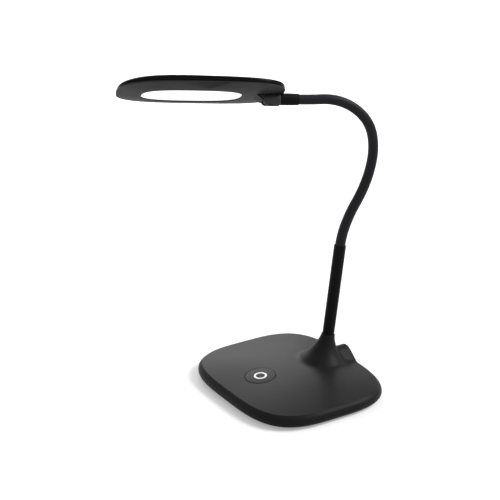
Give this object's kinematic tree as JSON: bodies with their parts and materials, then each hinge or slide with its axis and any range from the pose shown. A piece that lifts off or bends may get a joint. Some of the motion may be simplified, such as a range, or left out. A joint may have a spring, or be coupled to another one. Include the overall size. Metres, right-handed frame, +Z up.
{
  "type": "gooseneck desk lamp",
  "caption": "Desk lamp with a weighted rounded base, a bendable gooseneck, a swivel and tilt joint and a flat LED head with a frosted diffuser.",
  "frame": {"origin": "middle of the base on the table, in the plane under its rubber pad", "axes": "+Z up; -Y is the front, where the push button and the reaching head are; +Y is the rear with the power inlet; +X is the lamp's left as it faces forward"},
  "size_m": [0.1856, 0.2386, 0.3271],
  "materials": {
    "base_plastic": "satin",
    "plate_plastic": "matte",
    "ballast_steel": "rolled",
    "screw_steel": "zinc plated",
    "foot_rubber": "matte",
    "board_green": "solder mask",
    "component_black": "moulded",
    "coil_ferrite": "ferrite",
    "capacitor_can": "satin",
    "plunger_red": "moulded",
    "connector_white": "moulded",
    "pin_brass": "nickel plated",
    "lead_black": "jacket",
    "ring_white": "satin",
    "sleeve_plastic": "satin",
    "knuckle_plastic": "satin",
    "sheath_rubber": "satin",
    "core_steel": "coiled",
    "head_gloss": "glossy",
    "head_matte": "fine matte",
    "diffuser_white": "frosted",
    "tray_white": "matte",
    "board_white": "white solder mask",
    "led_yellow": "phosphor"
  },
  "bodies": {
    "base": {"base_cover": "base_plastic", "base_plate": "plate_plastic", "ballast_plate": "ballast_steel", "ballast_screws": "screw_steel", "rubber_pad": "foot_rubber", "base_screws": "screw_steel", "control_board": "board_green", "board_screws": "screw_steel", "driver_chip": "component_black", "driver_coil": "coil_ferrite", "board_capacitors": "capacitor_can", "switch_body": "component_black", "lead_connector": "connector_white", "jack_body": "component_black", "jack_pin": "pin_brass", "jack_lead": "lead_black", "neck_lead": "lead_black", "neck_stud": "screw_steel", "neck_washer": "screw_steel", "neck_nut": "screw_steel", "lower_sleeve": "sleeve_plastic", "lower_sheath": "sheath_rubber", "lower_core": "core_steel"},
    "button": {"button_cap": "base_plastic", "button_ring": "ring_white", "switch_plunger": "plunger_red"},
    "link_1": {"neck_sheath_1": "sheath_rubber", "neck_core_1": "core_steel"},
    "link_2": {"neck_sheath_2": "sheath_rubber", "neck_core_2": "core_steel"},
    "link_3": {"neck_sheath_3": "sheath_rubber", "neck_core_3": "core_steel"},
    "link_4": {"neck_sheath_4": "sheath_rubber", "neck_core_4": "core_steel"},
    "link_5": {"neck_sheath_5": "sheath_rubber", "neck_core_5": "core_steel"},
    "link_6": {"neck_sheath_6": "sheath_rubber", "neck_core_6": "core_steel"},
    "link_7": {"neck_sheath_7": "sheath_rubber", "neck_core_7": "core_steel"},
    "link_8": {"neck_sheath_8": "sheath_rubber", "neck_core_8": "core_steel"},
    "neck_end": {"upper_sheath": "sheath_rubber", "upper_core": "core_steel", "upper_sleeve": "sleeve_plastic"},
    "swivel": {"knuckle": "knuckle_plastic", "swivel_tube": "screw_steel", "swivel_clip": "screw_steel", "hinge_screw": "screw_steel", "hinge_nut": "screw_steel", "hinge_washers": "screw_steel"},
    "head": {"head_top_shell": "head_gloss", "head_frame": "head_matte", "diffuser": "diffuser_white", "reflector_tray": "tray_white", "led_board": "board_white", "leds": "led_yellow", "head_screws": "screw_steel", "head_lead": "lead_black"}
  },
  "joints": [
    {"name": "neck_lower_bend", "type": "hinge", "parent": "base", "child": "link_1", "pos_m": [0.0007, 0.06124, 0.14942], "axis": [0.9415, -0.3371, 0], "range_deg": [-12, 12]},
    {"name": "neck_side_bend", "type": "hinge", "parent": "link_1", "child": "link_2", "pos_m": [0.00331, 0.06853, 0.17128], "axis": [0.3067, 0.8567, -0.4147], "range_deg": [-12, 12]},
    {"name": "neck_lower_bend_2", "type": "hinge", "parent": "link_2", "child": "link_3", "pos_m": [0.00682, 0.07835, 0.19202], "axis": [0.9415, -0.3371, 0], "range_deg": [-12, 12]},
    {"name": "neck_lower_bend_3", "type": "hinge", "parent": "link_3", "child": "link_4", "pos_m": [0.0094, 0.08555, 0.21391], "axis": [0.9415, -0.3371, 0], "range_deg": [-12, 12]},
    {"name": "neck_side_bend_2", "type": "hinge", "parent": "link_4", "child": "link_5", "pos_m": [0.01037, 0.08825, 0.23689], "axis": [0.337, 0.9412, 0.0218], "range_deg": [-12, 12]},
    {"name": "neck_upper_bend", "type": "hinge", "parent": "link_5", "child": "link_6", "pos_m": [0.00875, 0.08374, 0.25943], "axis": [0.9415, -0.3371, 0], "range_deg": [-12, 12]},
    {"name": "neck_upper_bend_2", "type": "hinge", "parent": "link_6", "child": "link_7", "pos_m": [0.00375, 0.06977, 0.277], "axis": [0.9415, -0.3371, 0], "range_deg": [-12, 12]},
    {"name": "neck_side_bend_3", "type": "hinge", "parent": "link_7", "child": "link_8", "pos_m": [-0.0033, 0.0501, 0.28674], "axis": [0.0758, 0.2118, 0.9744], "range_deg": [-12, 12]},
    {"name": "neck_upper_bend_3", "type": "hinge", "parent": "link_8", "child": "neck_end", "pos_m": [-0.01108, 0.02834, 0.28853], "axis": [0.9415, -0.3371, 0], "range_deg": [-12, 12]},
    {"name": "head_swivel", "type": "hinge", "parent": "neck_end", "child": "swivel", "pos_m": [-0.02104, 0.00054, 0.29068], "axis": [-0.3361, -0.9386, 0.0785], "range_deg": [-120, 60]},
    {"name": "head_tilt", "type": "hinge", "parent": "swivel", "child": "head", "pos_m": [-0.02425, -0.01159, 0.28985], "axis": [0.8246, -0.253, 0.506], "range_deg": [0, 60]},
    {"name": "button_press", "type": "slide", "parent": "base", "child": "button", "axis": [0, 0.089, -0.996], "range_m": [0, 0.0008], "stiffness_N_per_m": 900, "springref_m": -0.0005}
  ],
  "couplings": [
    {"joint": "neck_lower_bend_2", "follows": "neck_lower_bend", "ratio": 1},
    {"joint": "neck_lower_bend_3", "follows": "neck_lower_bend", "ratio": 1},
    {"joint": "neck_side_bend_2", "follows": "neck_side_bend", "ratio": 1},
    {"joint": "neck_upper_bend_2", "follows": "neck_upper_bend", "ratio": 1},
    {"joint": "neck_side_bend_3", "follows": "neck_side_bend", "ratio": 1},
    {"joint": "neck_upper_bend_3", "follows": "neck_upper_bend", "ratio": 1}
  ]
}
